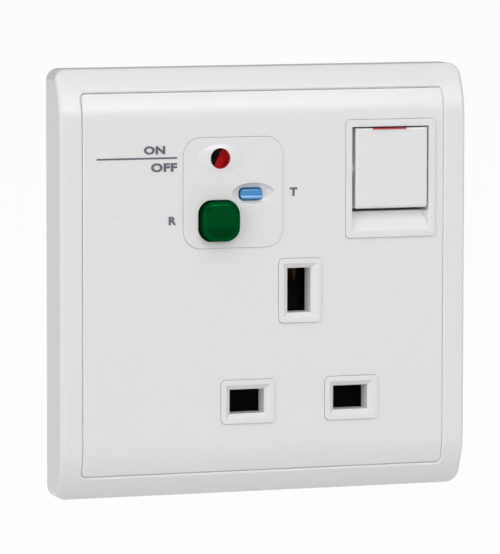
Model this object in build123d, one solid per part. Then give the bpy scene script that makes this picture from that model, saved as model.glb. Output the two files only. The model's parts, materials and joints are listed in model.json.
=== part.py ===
from build123d import *
import os
from math import asin, cos, degrees, radians, sin, sqrt

# Residual current device socket, one gang, for the wall.
# Millimetres. Origin: centre of the plate on the wall plane.
# +X to the right and +Z up as seen from the front, +Y into the wall.

# Cover plate
cover_size = 86.5
cover_reach = 9.2
cover_corner = 2.4
cover_arris = 0.9
cover_wall = 2.0
flat_half_height = 32.0
sweep_radius = 17.0
border_width = 4.85
fascia_corner = 0.9
fascia_roll = 0.25
fascia_thickness = 2.2
seam_gap = 0.02
seam_roll = 0.5
ledge_width = 1.2
ledge_thickness = 1.5
seat_gap = 0.05
window_gap = 0.06
rib_length = 40.0
rib_width = 1.1
rib_height = 1.6
peg_radius = 1.1
peg_fit = 0.06
peg_inset = 4.05
peg_half_height = 24.0
peg_end_gap = 0.6

# Mounting plate behind the cover
plate_side_gap = 0.25
plate_end_gap = 1.35
plate_corner = 2.0
plate_thickness = 2.4
fixing_centres = 60.3
fixing_hole_radius = 2.1

# Pin pattern and aperture islands, proud of the fascia
earth_x = 7.4
earth_z = -2.05
pin_half_pitch = 11.11
pin_drop = 22.23
island_proud = 0.25
earth_island = (9.10, 13.04)
pole_island = (11.42, 8.88)
island_corner = 1.0
earth_hole = (5.0, 9.1)
pole_hole = (7.4, 4.95)
island_rim = 1.0
funnel_depth = 0.8
layer_gap = 0.15
block_thickness = 1.8
block_skirt = 1.5
block_margin = 1.6
block_head_room = 1.0
block_shoulder_gap = 0.55
shutter_thickness = 2.0
shutter_travel = 5.1
shutter_overlap = 0.4
shutter_side_gap = 0.25
shutter_stem_width = 6.4
shutter_arm_half_width = 6.4
shutter_arm_height = 2.0
shutter_arm_drop = 1.6
shutter_ramp_lip = 0.4
shutter_spring_offset = 4.5
shutter_spring_length = 9.0
shutter_spring_radius = 0.7
shutter_spring_wire = 0.15
shutter_spring_turns = 10
shutter_rib_height = 1.2
shroud_margin = 2.6
shroud_gap = 0.1
shroud_flange = 0.8
shroud_flange_thickness = 0.9
pin_clearance = 0.15
earth_pin_height = 7.95

# Test and reset panel
panel_x = -6.87
panel_z = 18.15
panel_width = 21.1
panel_corner = 3.7
panel_proud = 0.15
panel_wall = 1.95
panel_rim = 0.8
panel_seat = 1.0
flange_step = 1.0
lens_left = 2.8
lens_top_margin = 4.22
lens_pitch = 12.57
lens_radius = 2.05
lens_thickness = 2.25
lens_dome = 0.4
lens_fit = 0.05
lens_back_gap = 0.15
lens_swell = (5.0, 0.35, 2.85)
lens_swell_sink = 1.0
reset_left = 3.07
reset_bottom_margin = 5.51
reset_width = 7.82
reset_height = 7.95
reset_corner = 2.6
reset_bow = 0.3
reset_side_gap = 0.45
reset_end_gap = 0.25
reset_proud = 2.5
reset_travel = 2.5
reset_dish_radius = 25.0
reset_dish_depth = 0.25
reset_edge = 0.8
reset_flange = 0.65
reset_stem = 3.0
test_right = 3.98
test_drop = 0.45
test_width = 4.6
test_height = 2.15
test_corner = 0.75
test_gap = 0.25
test_travel = 1.2
test_sink = 0.1
test_edge = 0.35
test_groove_radius = 1.6
test_groove_depth = 0.18
test_flange = 0.5
test_dish_right = 0.26
test_dish_rise = 0.2
test_dish = (4.5, 1.25, 2.15)
test_stem_radius = 0.9
strip_thickness = 0.35
strip_margin = 0.7
button_gap = 0.12
button_flange_thickness = 1.0
button_spring_wire = 0.25
reset_spring_radius = 2.6
reset_spring_turns = 5
test_spring_radius = 1.35
test_spring_turns = 6

# Trip flag behind the window
flag_pivot_reach = 6.4
flag_pivot_angle = 65.0
flag_thickness = 0.8
flag_margin = 0.15
flag_swing = 26.0
flag_split_angle = 63.2
flag_pin_radius = 0.65
flag_pin_root = 0.2
flag_pin_tip = 0.3
flag_hub_radius = 1.2
flag_tail_reach = 2.05
flag_tail_angle = 135.0
flag_tail_radius = 1.0

# Switch
bezel_side_margin = 1.815
bezel_z = 20.25
bezel_width = 19.37
bezel_height = 24.0
bezel_corner = 0.75
bezel_proud = 0.25
well_side_wall = 1.425
well_top_wall = 1.45
well_width = 16.62
well_height = 17.35
scoop_height = 3.76
scoop_depth = 2.3
scoop_draft = 0.6
bezel_core_wall = 1.4
rocker_side_gap = 0.33
rocker_top_gap = 0.31
rocker_width = 15.49
rocker_height = 16.36
rocker_edge = 0.35
rocker_lip = 0.8
rocker_depth = 3.4
rocker_sink = 0.05
rocker_wall = 1.5
rocker_hollow = 0.75
pivot_depth = 2.2
pivot_radius = 0.9
pivot_reach = 0.55
running_gap = 0.05
rocker_stem_length = 7.2
rocker_stem_width = 3.6
rocker_stem_thickness = 1.2
rocker_nose_radius = 0.9
stripe_width = 7.3
stripe_left = 0.4
stripe_depth = 1.6
stripe_thickness = 0.3

# Switch contact cradle
cradle_pivot_y = 7.0
cradle_width = 5.2
cradle_half_height = 2.6
cradle_front = 4.2
cradle_back = 1.6
cradle_axle_radius = 1.0
cradle_cheek = 1.2
cradle_cheek_gap = 0.3
fork_clearance = 0.25
fork_wall = 1.2
fork_overlap = 1.4
contact_bar_thickness = 0.9
contact_bar_width = 3.2
contact_top_gap = 0.84
contact_down = 3.5
pad_radius = 1.2
pad_thickness = 0.6
contact_gap = 0.03
cheek_half_height = 2.5
cheek_lead = 1.8
cheek_foot = 0.9
post_width = 2.4
post_nose = 0.8
bracket_thickness = 1.0

# Rear housing
housing_side_gap = 0.1
housing_end_gap = 0.695
housing_corner = 2.0
least_corner = 0.2
housing_wall = 1.8
housing_back = 2.0
notch_half_height = 8.5
notch_half_width = 24.5
boss_radius = 2.6
boss_inset = 3.9
boss_side_gap = 0.4
screw_radius = 1.3
screw_gap = 0.1
screw_head_radius = 2.3
screw_head_height = 1.3
slot_width = 0.7
slot_depth = 0.6
slot_share = 0.65

# Pin contacts, terminals and conductors
pin_thickness = 3.97
leaf_thickness = 0.7
leaf_gap = 0.06
pole_leaf_width = 6.8
earth_leaf_width = 8.2
pole_leaf_length = 8.5
earth_leaf_length = 11.5
web_thickness = 0.8
terminal_width = 7.2
terminal_depth = 8.0
terminal_front_gap = 1.5
terminal_height = 6.4
wire_bore_radius = 2.2
wire_bore_depth = 4.6
clamp_screw_radius = 1.3
clamp_head_radius = 2.2
clamp_head_height = 1.2
access_gap = 0.6
entry_gap = 0.8
conductor = 1.0
web_tab = 1.3
exit_gap = 1.1
return_gap = 0.5
line_out_inset = 1.11
line_out_gap = 0.6
line_out_drop = 1.5
load_bar_inset = 0.9
board_side_gap = 1.5
feed_terminal_gap = 5.3
feed_low_step = 3.5
feed_high_step = 1.3

# Residual current mechanism
chassis_front = 2.4
chassis_thickness = 1.5
chassis_left = -22.5
chassis_right = 4.1
chassis_rise = 10.5
chassis_drop = 9.6
chassis_leg = 1.5
chassis_leg_drop = 6.0
stem_gap = 0.2
guide_radius = 1.0
guide_half_pitch = 4.1
guide_tip = 1.5
neutral_pole_x = -18.2
line_pole_x = -2.8
pad_half_pitch = 4.7
carrier_rise = 0.54
carrier_height = 6.0
carrier_depth = 4.0
carrier_margin = 0.4
carrier_travel = 3.0
carrier_spring_radius = 1.45
carrier_spring_wire = 0.2
carrier_spring_turns = 4
carrier_bar_width = 2.0
carrier_bar_overhang = 1.2
carrier_arm_thickness = 1.5
link_radius = 0.55
link_gap = 0.3
toroid_x = -17.0
toroid_y = 10.0
toroid_z = -4.0
core_inner = 3.4
core_outer = 4.8
core_height = 4.0
winding_wall = 0.6
winding_gap = 0.05
winding_opening = 50.0
feed_half_pitch = 1.2
latch_x = 0.6
latch_y = 5.3
latch_reach = 8.6
latch_thickness = 1.2
latch_width = 3.0
latch_hub = 1.2
latch_nose = 1.1
latch_nose_height = 1.3
latch_slot = 1.5
latch_slot_start = 4.1
latch_pin_radius = 0.6
latch_lug = 1.7
plunger_y = 10.5
plunger_radius = 1.15
plunger_neck = 0.5
plunger_head = 1.1
plunger_head_length = 0.85
plunger_head_gap = 0.35
plunger_body_gap = 1.2
plunger_length = 9.0
plunger_fit = 0.1
solenoid_left = 3.3
bobbin_length = 9.0
bobbin_radius = 4.2
bobbin_wall = 0.6
bobbin_flange = 0.8
coil_radius = 3.8
yoke_thickness = 0.7
board_boss_gap = 1.0
board_right_gap = 0.2
board_top_gap = 0.5
board_height = 19.6
board_thickness = 1.6
board_standoff = 1.2
board_inset = 0.6
capacitor_radius = 2.9
capacitor_length = 7.0
resistor_radius = 1.3
resistor_length = 6.5
resistor_lift = 0.5
resistor_lead = 0.4
resistor_lead_inset = 0.9
varistor_x = -3.5
varistor_radius = 3.7
varistor_thickness = 3.0
thyristor_x = 5.0
thyristor_radius = 2.3
thyristor_height = 4.6
diode_x = -10.5
diode_radius = 0.9
diode_length = 4.0
diode_pitch = 2.3
diode_count = 4

# Working allowances
cut_past = 1.0
edge_pick = 0.05

# Levels along Y, front to back
front_y = -cover_reach
fascia_back = front_y + fascia_thickness
plate_front = -plate_thickness
island_front = front_y - island_proud
block_front = fascia_back + layer_gap
block_back = block_front + block_thickness
shutter_front = block_back + layer_gap
shutter_back = shutter_front + shutter_thickness
clip_front = shroud_flange_thickness + shroud_gap
panel_front = front_y - panel_proud
panel_back = panel_front + panel_wall
button_flange_front = panel_back + button_gap
button_flange_back = button_flange_front + button_flange_thickness
lens_back = panel_back + lens_back_gap
flag_front = lens_back + lens_back_gap
flag_back = flag_front + flag_thickness
bezel_front = front_y - bezel_proud
rocker_front = bezel_front + rocker_sink
pivot_y = rocker_front + pivot_depth
rocker_back = rocker_front + rocker_depth
nose_y = pivot_y + rocker_stem_length
pole_web = (clip_front + pole_leaf_length, clip_front + pole_leaf_length + web_thickness)
earth_web = (clip_front + earth_leaf_length, clip_front + earth_leaf_length + web_thickness)
housing_floor = pole_web[1] + terminal_front_gap + terminal_depth
housing_depth = housing_floor + housing_back
chassis_back = chassis_front + chassis_thickness
strip_front = chassis_front - strip_thickness
rail_y = chassis_back + conductor / 2
fixed_pad_back = chassis_back + conductor + pad_thickness
carrier_bar_front = fixed_pad_back + contact_gap + pad_thickness
carrier_front = carrier_bar_front + contact_bar_thickness
carrier_back = carrier_front + carrier_depth
guide_end = carrier_back + carrier_travel + guide_tip
reset_stem_end = carrier_front - reset_travel - contact_gap
board_back = housing_floor - board_standoff
board_front = board_back - board_thickness
wire_y = housing_floor - wire_bore_depth
exit_y = housing_floor - exit_gap - conductor / 2
return_y = board_front - return_gap - conductor / 2
contact_bar_front = cradle_pivot_y + cradle_back
contact_bar_back = contact_bar_front + contact_bar_thickness
moving_pad_back = contact_bar_back + pad_thickness
bracket_front = moving_pad_back + contact_gap + pad_thickness
bracket_back = bracket_front + bracket_thickness

# Places across the plate
fascia_size = cover_size - 2 * border_width
plate_width = cover_size - 2 * (cover_wall + plate_side_gap)
plate_height = cover_size - 2 * (cover_wall + plate_end_gap)
panel_height = reset_bottom_margin + lens_pitch + lens_top_margin
reset_x = panel_x - reset_left
reset_z = panel_z - panel_height / 2 + reset_bottom_margin
lens_x = panel_x - lens_left
lens_z = reset_z + lens_pitch
test_x = panel_x + test_right
test_z = panel_z - test_drop
test_dish_x = test_x + test_dish_right
test_dish_z = test_z + test_dish_rise
bezel_x = fascia_size / 2 - bezel_side_margin - bezel_width / 2
well_right = bezel_x + bezel_width / 2 - well_side_wall
well_left = well_right - well_width
well_top = bezel_z + bezel_height / 2 - well_top_wall
well_bottom = well_top - well_height
scoop_bottom = well_bottom - scoop_height
rocker_x = well_right - rocker_side_gap - rocker_width / 2
rocker_z = well_top - rocker_top_gap - rocker_height / 2
neutral_x = earth_x - pin_half_pitch
line_x = earth_x + pin_half_pitch
pole_z = earth_z - pin_drop
pole_bottom = pole_z - pole_hole[1] / 2
pole_top = pole_z + pole_hole[1] / 2
blade_bottom = pole_bottom - shutter_overlap
blade_top = pole_top + shutter_overlap
stem_top = earth_z - earth_pin_height / 2 + shutter_travel
arm_top = earth_z - earth_hole[1] / 2 - shutter_arm_drop
arm_bottom = arm_top - shutter_arm_height
housing_inner_z = housing_end_gap + shroud_flange + shroud_margin - pole_bottom
housing_half_height = housing_inner_z + housing_wall
switch_half_width = cradle_width / 2 + cradle_cheek_gap + cradle_cheek
housing_half_width = rocker_x + switch_half_width + housing_side_gap + housing_wall
line_out_x = min(line_x + pole_leaf_width / 2 - line_out_inset,
                 rocker_x - switch_half_width - line_out_gap) - conductor / 2
boss_upper_x = line_out_x - conductor / 2 - boss_side_gap - boss_radius
contact_up = housing_inner_z - rocker_z - contact_top_gap
carrier_z = reset_z + carrier_rise
lower_pad_z = carrier_z - pad_half_pitch
upper_pad_z = carrier_z + pad_half_pitch
chassis_top = carrier_z + chassis_rise
chassis_bottom = carrier_z - chassis_drop
board_left = board_boss_gap - (housing_half_width - boss_inset - boss_radius)
board_right = boss_upper_x - boss_radius - board_right_gap
board_top = housing_inner_z - board_top_gap
board_bottom = board_top - board_height
terminal_top = -housing_inner_z + terminal_height
leaf_offset = pin_thickness / 2 + leaf_gap + leaf_thickness / 2
flag_pivot_x = lens_x - flag_pivot_reach * cos(radians(flag_pivot_angle))
flag_pivot_z = lens_z - flag_pivot_reach * sin(radians(flag_pivot_angle))
link_x = flag_pivot_x + flag_tail_reach * cos(radians(flag_tail_angle))
link_z = flag_pivot_z + flag_tail_reach * sin(radians(flag_tail_angle))
winding_outer = core_outer + winding_gap + winding_wall
winding_inner = core_inner - winding_gap - winding_wall
winding_height = core_height + 2 * (winding_gap + winding_wall)
neutral_feed_x = toroid_x - feed_half_pitch
line_feed_x = toroid_x + feed_half_pitch
neutral_feed_low = terminal_top + feed_terminal_gap
line_feed_low = neutral_feed_low + feed_low_step
line_feed_high = chassis_bottom + conductor / 2
neutral_feed_high = line_feed_high + feed_high_step


def block(x, y, z):
    """A box from (low, high) pairs along each axis."""
    size = Box(x[1] - x[0], y[1] - y[0], z[1] - z[0])
    return Pos((x[0] + x[1]) / 2, (y[0] + y[1]) / 2, (z[0] + z[1]) / 2) * size


def around(centre, size):
    """The (low, high) pair of a length centred on a place."""
    return (centre - size / 2, centre + size / 2)


def rounded(x, z, width, height, radius, y):
    """A round-cornered bar along Y between two levels."""
    plane = Plane(origin=(x, y[1], z), x_dir=(1, 0, 0), z_dir=(0, -1, 0))
    return extrude(plane * RectangleRounded(width, height, radius), y[1] - y[0])


def bowed(x, z, width, height, bow, radius, y):
    """A round-cornered bar along Y whose four sides swell outwards."""
    plane = Plane(origin=(x, y[1], z), x_dir=(1, 0, 0), z_dir=(0, -1, 0))
    corner_x = width / 2 - bow
    corner_z = height / 2 - bow
    corners = [(corner_x, corner_z), (-corner_x, corner_z), (-corner_x, -corner_z), (corner_x, -corner_z)]
    crowns = [(0, height / 2), (-width / 2, 0), (0, -height / 2), (width / 2, 0)]
    sides = [ThreePointArc(start, crown, end)
             for start, crown, end in zip(corners, crowns, corners[1:] + corners[:1])]
    outline = make_face(sides)
    return extrude(plane * fillet(outline.vertices(), radius), y[1] - y[0])


def rod_x(radius, y, z, x):
    return Pos((x[0] + x[1]) / 2, y, z) * Rot(0, 90, 0) * Cylinder(radius, x[1] - x[0])


def rod_y(radius, x, z, y):
    return Pos(x, (y[0] + y[1]) / 2, z) * Rot(90, 0, 0) * Cylinder(radius, y[1] - y[0])


def rod_z(radius, x, y, z):
    return Pos(x, y, (z[0] + z[1]) / 2) * Cylinder(radius, z[1] - z[0])


def bar_x(points, x):
    """A bar along X whose straight-sided outline is given as (y, z) points."""
    plane = Plane(origin=(x[0], 0, 0), x_dir=(0, 1, 0), z_dir=(1, 0, 0))
    return extrude(plane * make_face(Polyline(*points, close=True)), x[1] - x[0])


def taper(x, z, mouth, throat, y):
    """A rectangular bar along Y that narrows from a mouth to a throat."""
    ends = []
    for size, level in ((mouth, y[0]), (throat, y[1])):
        plane = Plane(origin=(x, level, z), x_dir=(1, 0, 0), z_dir=(0, -1, 0))
        ends.append(plane * Rectangle(size[0], size[1]))
    return loft(ends)


def coil(length, radius, wire, turns):
    """A round-wire compression spring along +Z from the origin."""
    path = Helix(pitch=(length - 2 * wire) / turns, height=length - 2 * wire, radius=radius)
    profile = Plane(origin=path @ 0, z_dir=path % 0) * Circle(wire)
    return Pos(0, 0, wire) * sweep(profile, path=path, is_frenet=True)


def busbar(points):
    """A square conductor through points that differ along one axis at a time."""
    half = conductor / 2
    bar = None
    for start, end in zip(points, points[1:]):
        low = [min(a, b) - half for a, b in zip(start, end)]
        high = [max(a, b) + half for a, b in zip(start, end)]
        piece = block((low[0], high[0]), (low[1], high[1]), (low[2], high[2]))
        bar = piece if bar is None else bar + piece
    return bar


def front_form(depth):
    """All that lies behind the swept front surface, set back by a depth."""
    axis_y = front_y + sweep_radius
    radius = sweep_radius - depth
    width = around(0, 2 * cover_size)
    form = block(width, (axis_y - radius, axis_y), around(0, 2 * flat_half_height))
    for side in (-1, 1):
        form = form + rod_x(radius, axis_y, side * flat_half_height, width)
    return form


def square_prism(size, radius):
    return rounded(0, 0, size, size, radius, (front_y - cut_past, 0))


def rim_edges(solid, reach):
    """The edges of a front face within a half size, without those along Y."""
    found = []
    for edge in solid.edges():
        box = edge.bounding_box()
        far = max(abs(v) for v in (box.min.X, box.max.X, box.min.Z, box.max.Z))
        if box.max.Y < -edge_pick and box.size.X + box.size.Z > edge_pick and far < reach:
            found.append(edge)
    return found


def four_ways(x, z):
    return [(sx * x, sz * z) for sx in (-1, 1) for sz in (-1, 1)]


def surround_frame():
    outer = front_form(0) & square_prism(cover_size, cover_corner)
    outer = fillet(rim_edges(outer, cover_size), cover_arris)
    opening = fascia_size + 2 * seam_gap
    border = outer - square_prism(opening, fascia_corner + seam_gap)
    border = fillet(rim_edges(border, opening / 2 + edge_pick), seam_roll)
    seat = fascia_thickness + seat_gap
    floor = seat + ledge_thickness
    inside = square_prism(cover_size - 2 * cover_wall, cover_corner / 2)
    ledge = inside - square_prism(fascia_size - 2 * ledge_width, fascia_corner)
    frame = border - (front_form(floor) & inside)
    frame = frame + ((front_form(seat) - front_form(floor)) & ledge)
    peg_x = cover_size / 2 - peg_inset
    for x, z in four_ways(peg_x, peg_half_height):
        frame = frame + rod_y(peg_radius, x, z, (front_y + seat, -peg_end_gap))
    return frame


def islands():
    """Centre and size of each aperture island."""
    return [(earth_x, earth_z, earth_island), (neutral_x, pole_z, pole_island),
            (line_x, pole_z, pole_island)]


def apertures():
    """Centre and size of each pin aperture."""
    return [(earth_x, earth_z, earth_hole), (neutral_x, pole_z, pole_hole),
            (line_x, pole_z, pole_hole)]


def fascia():
    panel = front_form(0) & square_prism(fascia_size, fascia_corner)
    panel = fillet(rim_edges(panel, fascia_size), fascia_roll) - front_form(fascia_thickness)
    rib_z = fascia_size / 2 - ledge_width - window_gap - rib_width / 2
    for side in (-1, 1):
        rib = block(around(0, rib_length), (front_y, fascia_back + rib_height),
                    around(side * rib_z, rib_width))
        panel = panel + (rib & front_form(fascia_thickness / 2))
    through = (front_y - cut_past, fascia_back + cut_past)
    gap = 2 * window_gap
    for x, z, size in islands():
        panel = panel - rounded(x, z, size[0] + gap, size[1] + gap, island_corner + window_gap, through)
    panel = panel - rounded(panel_x, panel_z, panel_width + gap, panel_height + gap,
                            panel_corner + window_gap, through)
    return panel - rounded(bezel_x, bezel_z, bezel_width + gap, bezel_height + gap,
                           bezel_corner + window_gap, through)


def tee(lower_half, upper_half, bottom, shoulder, top, y):
    """The T-shaped bar that the socket's mouldings share, from a wide foot to a narrow head."""
    foot = block(around(earth_x, 2 * lower_half), y, (bottom, shoulder))
    head = block(around(earth_x, 2 * upper_half), y, (bottom, top))
    return foot + head


def block_tee(inset, y):
    lower = pin_half_pitch + pole_island[0] / 2 + block_margin
    upper = shutter_arm_half_width + shutter_side_gap + block_skirt
    bottom = blade_bottom - shutter_travel - shutter_side_gap - block_skirt
    shoulder = blade_top + block_shoulder_gap + block_skirt
    top = earth_z + earth_island[1] / 2 + block_head_room
    return tee(lower - inset, upper - inset, bottom + inset, shoulder - inset, top - inset, y)


def shroud_tee(growth, y):
    margin = shroud_margin + growth
    lower = pin_half_pitch + pole_hole[0] / 2 + margin
    upper = earth_hole[0] / 2 + margin
    top = earth_z + earth_hole[1] / 2 + margin
    return tee(lower, upper, pole_bottom - margin, pole_top + margin, top, y)


def aperture_block():
    base = block_tee(0, (block_front, plate_front)) - block_tee(block_skirt, (block_back, plate_front))
    for x, z, size in islands():
        island = rounded(x, z, size[0], size[1], island_corner, (island_front, block_back))
        base = base + island
    for (x, z, size), (_, _, hole) in zip(islands(), apertures()):
        mouth = (size[0] - 2 * island_rim, size[1] - 2 * island_rim)
        base = base - taper(x, z, mouth, hole, (island_front, island_front + funnel_depth))
        base = base - block(around(x, hole[0]), (island_front, block_back), around(z, hole[1]))
    rib_top = arm_bottom - shutter_spring_length
    inner_half = shutter_arm_half_width + shutter_side_gap
    stem_half = shutter_stem_width / 2 + shutter_side_gap
    for side in (-1, 1):
        near = earth_x + side * stem_half
        far = earth_x + side * (inner_half + block_skirt / 2)
        base = base + block((min(near, far), max(near, far)), (block_back, shutter_back),
                            (rib_top - shutter_rib_height, rib_top))
    return base


def shutter():
    y = (shutter_front, shutter_back)
    half = pin_half_pitch + pole_hole[0] / 2 + shutter_overlap
    plate = block(around(earth_x, 2 * half), y, (blade_bottom, blade_top))
    plate = plate + block(around(earth_x, shutter_stem_width), y, (blade_bottom, stem_top))
    plate = plate + block(around(earth_x, 2 * shutter_arm_half_width), y, (arm_bottom, arm_top))
    ramp = bar_x([(y[0], stem_top), (y[1] - shutter_ramp_lip, stem_top), (y[0], stem_top - shutter_travel)],
                 around(earth_x, shutter_stem_width))
    return plate - ramp


def shutter_springs():
    middle = (shutter_front + shutter_back) / 2
    spring = coil(shutter_spring_length, shutter_spring_radius, shutter_spring_wire, shutter_spring_turns)
    places = [earth_x - shutter_spring_offset, earth_x + shutter_spring_offset]
    return [Pos(x, middle, arm_bottom - shutter_spring_length) * spring for x in places]


def contact_shroud():
    shroud = shroud_tee(-shroud_gap, (plate_front, 0))
    shroud = shroud + shroud_tee(shroud_flange, (0, shroud_flange_thickness))
    for x, z, size in apertures():
        width = around(x, size[0] + 2 * pin_clearance)
        height = around(z, size[1] + 2 * pin_clearance)
        shroud = shroud - block(width, (plate_front, shroud_flange_thickness), height)
    return shroud


def corner_screws():
    """Places of the four screws that hold the housing to the mounting plate."""
    x = housing_half_width - boss_inset
    z = housing_half_height - boss_inset
    return [(-x, z), (-x, -z), (x, -z), (boss_upper_x, z)]


def mounting_plate():
    y = (plate_front, 0)
    plate = rounded(0, 0, plate_width, plate_height, plate_corner, y)
    plate = plate - shroud_tee(0, y)
    cavity = panel_cavity(panel_seat, y)
    plate = plate - cavity
    plate = plate - block((well_left + panel_seat, well_right - panel_seat), y,
                          (well_bottom + panel_seat, well_top - panel_seat))
    for side in (-1, 1):
        plate = plate - rod_y(fixing_hole_radius, side * fixing_centres / 2, 0, y)
    for x, z in four_ways(cover_size / 2 - peg_inset, peg_half_height):
        plate = plate - rod_y(peg_radius + peg_fit, x, z, y)
    for x, z in corner_screws():
        plate = plate - rod_y(screw_radius + screw_gap, x, z, y)
    return plate


def panel_cavity(inset, y):
    shrink = 2 * (panel_rim + inset)
    return rounded(panel_x, panel_z, panel_width - shrink, panel_height - shrink,
                   panel_corner - panel_rim, y)


def rcd_panel():
    panel = rounded(panel_x, panel_z, panel_width, panel_height, panel_corner, (panel_front, plate_front))
    panel = panel + rounded(panel_x, panel_z, panel_width + 2 * flange_step, panel_height + 2 * flange_step,
                            panel_corner + flange_step, (block_front, plate_front))
    panel = panel - panel_cavity(0, (panel_back, plate_front))
    panel = panel + lens_swelling()
    through = (panel_front - cut_past, panel_back)
    panel = panel - rounded(reset_x, reset_z, reset_width + 2 * reset_side_gap,
                            reset_height + 2 * reset_end_gap, reset_corner + reset_end_gap, through)
    panel = panel - rounded(test_x, test_z, test_width + 2 * test_gap, test_height + 2 * test_gap,
                            test_corner + test_gap, through)
    panel = panel - rod_y(lens_radius + lens_fit, lens_x, lens_z, through)
    panel = panel - Pos(test_dish_x, panel_front, test_dish_z) * scale(Sphere(1), by=test_dish)
    pin = (panel_back - flag_pin_root, flag_back + flag_pin_tip)
    return panel + rod_y(flag_pin_radius, flag_pivot_x, flag_pivot_z, pin)


def lens_swelling():
    """The low oval swelling that the lens sits in: the front of a larger egg, sunk in the panel."""
    depth = lens_swell_sink + lens_swell[1]
    share = sqrt(1 - (lens_swell_sink / depth) ** 2)
    egg = scale(Sphere(1), by=(lens_swell[0] / share, depth, lens_swell[2] / share))
    egg = Pos(lens_x, panel_front + lens_swell_sink, lens_z) * egg
    front = block(around(lens_x, 2 * lens_swell[0]), (panel_front - depth, panel_front + lens_swell[1]),
                  around(lens_z, 2 * lens_swell[2]))
    return egg & front


def indicator_lens():
    rim = lens_back - lens_thickness
    disc = rod_y(lens_radius, lens_x, lens_z, (rim, lens_back))
    ball = (lens_radius ** 2 + lens_dome ** 2) / (2 * lens_dome)
    dome = Pos(lens_x, rim - lens_dome + ball, lens_z) * Sphere(ball)
    cap = dome & rod_y(lens_radius, lens_x, lens_z, (rim - 2 * lens_dome, rim))
    return disc + cap


def flag_sector(start, end, inner):
    """A slice of the flag between two angles, measured from +X towards +Z."""
    outer = flag_pivot_reach + lens_radius + flag_margin
    ring = rod_y(outer, flag_pivot_x, flag_pivot_z, (flag_front, flag_back))
    if inner > 0:
        ring = ring - rod_y(inner, flag_pivot_x, flag_pivot_z, (flag_front, flag_back))
    plane = Plane(origin=(flag_pivot_x, flag_back, flag_pivot_z), x_dir=(1, 0, 0), z_dir=(0, -1, 0))
    reach = 2 * outer
    rays = [(reach * cos(radians(a)), reach * sin(radians(a))) for a in (start, end)]
    slice_face = plane * make_face(Polyline((0, 0), rays[0], rays[1], close=True))
    return ring & extrude(slice_face, flag_thickness)


def window_half_angle():
    return degrees(asin((lens_radius + flag_margin) / flag_pivot_reach))


def flag_red():
    inner = flag_pivot_reach - lens_radius - flag_margin
    return flag_sector(flag_pivot_angle - window_half_angle(), flag_split_angle, inner)


def flag_black():
    y = (flag_front, flag_back)
    flag = flag_sector(flag_split_angle, flag_pivot_angle + window_half_angle() + flag_swing, 0)
    flag = flag + rod_y(flag_hub_radius, flag_pivot_x, flag_pivot_z, y)
    flag = flag + rod_y(flag_tail_radius, link_x, link_z, y)
    return flag - rod_y(flag_pin_radius + running_gap, flag_pivot_x, flag_pivot_z, y)


def reset_button():
    tip = panel_front - reset_proud
    cap = bowed(reset_x, reset_z, reset_width, reset_height, reset_bow, reset_corner,
                (tip, button_flange_back))
    rim = [e for e in cap.edges() if e.bounding_box().max.Y < tip + edge_pick]
    cap = fillet(rim, reset_edge)
    cap = cap + rounded(reset_x, reset_z, reset_width + 2 * reset_flange, reset_height + 2 * reset_flange,
                        reset_corner + reset_flange, (button_flange_front, button_flange_back))
    ball_y = tip + reset_dish_depth - reset_dish_radius
    cap = cap - Pos(reset_x, ball_y, reset_z) * Sphere(reset_dish_radius)
    return cap + block(around(reset_x, reset_stem), (button_flange_back, reset_stem_end),
                       around(reset_z, reset_stem))


def reset_spring():
    length = chassis_front - button_flange_back
    spring = coil(length, reset_spring_radius, button_spring_wire, reset_spring_turns)
    return Pos(reset_x, button_flange_back, reset_z) * Rot(-90, 0, 0) * spring


def test_button():
    tip = panel_front + test_sink
    cap = rounded(test_x, test_z, test_width, test_height, test_corner, (tip, button_flange_back))
    rim = [e for e in cap.edges() if e.bounding_box().max.Y < tip + edge_pick]
    cap = fillet(rim, test_edge)
    cap = cap - rod_x(test_groove_radius, tip + test_groove_depth - test_groove_radius, test_z,
                      around(test_x, test_width))
    cap = cap + rounded(test_x, test_z, test_width, test_height + 2 * test_flange, test_corner,
                        (button_flange_front, button_flange_back))
    end = strip_front - test_travel - contact_gap
    return cap + rod_y(test_stem_radius, test_x, test_z, (button_flange_back, end))


def test_spring():
    length = strip_front - button_flange_back
    spring = coil(length, test_spring_radius, button_spring_wire, test_spring_turns)
    return Pos(test_x, button_flange_back, test_z) * Rot(-90, 0, 0) * spring


def test_contact_strip():
    y = (strip_front, chassis_front)
    return block(around(test_x, test_width), y, around(test_z, 2 * (test_spring_radius + strip_margin)))


def switch_bezel():
    bezel = rounded(bezel_x, bezel_z, bezel_width, bezel_height, bezel_corner, (bezel_front, plate_front))
    bezel = bezel - block((well_left, well_right), (bezel_front, plate_front), (well_bottom, well_top))
    deep = bezel_front + scoop_depth
    scoop = bar_x([(bezel_front, scoop_bottom), (bezel_front, well_bottom), (deep, well_bottom)],
                  (well_left, well_right))
    middle = (well_left + well_right) / 2
    width = well_right - well_left
    height = 2 * (well_bottom - scoop_bottom)
    scoop = scoop & taper(middle, well_bottom, (width, height), (width - 2 * scoop_draft, height),
                          (bezel_front, deep))
    core = block((well_left, well_right), (deep + bezel_core_wall, plate_front),
                 (bezel_z - bezel_height / 2 + bezel_core_wall, well_bottom - bezel_core_wall))
    bezel = bezel - scoop - core
    reach = pivot_reach + running_gap
    bores = (well_left - reach, well_right + reach)
    return bezel - rod_x(pivot_radius + running_gap, pivot_y, rocker_z, bores)


def rocker_cap():
    half = rocker_height / 2
    cap = block(around(rocker_x, rocker_width), (rocker_front, rocker_back), around(rocker_z, rocker_height))
    low = [e for e in cap.edges() if e.bounding_box().max.Y < rocker_front + edge_pick
           and e.bounding_box().max.Z < rocker_z - half + edge_pick]
    cap = fillet(low, rocker_lip)
    rest = [e for e in cap.edges() if e.bounding_box().max.Y < rocker_front + edge_pick
            and e.bounding_box().max.Z > rocker_z - half + rocker_lip + edge_pick]
    return fillet(rest, rocker_edge)


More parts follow.
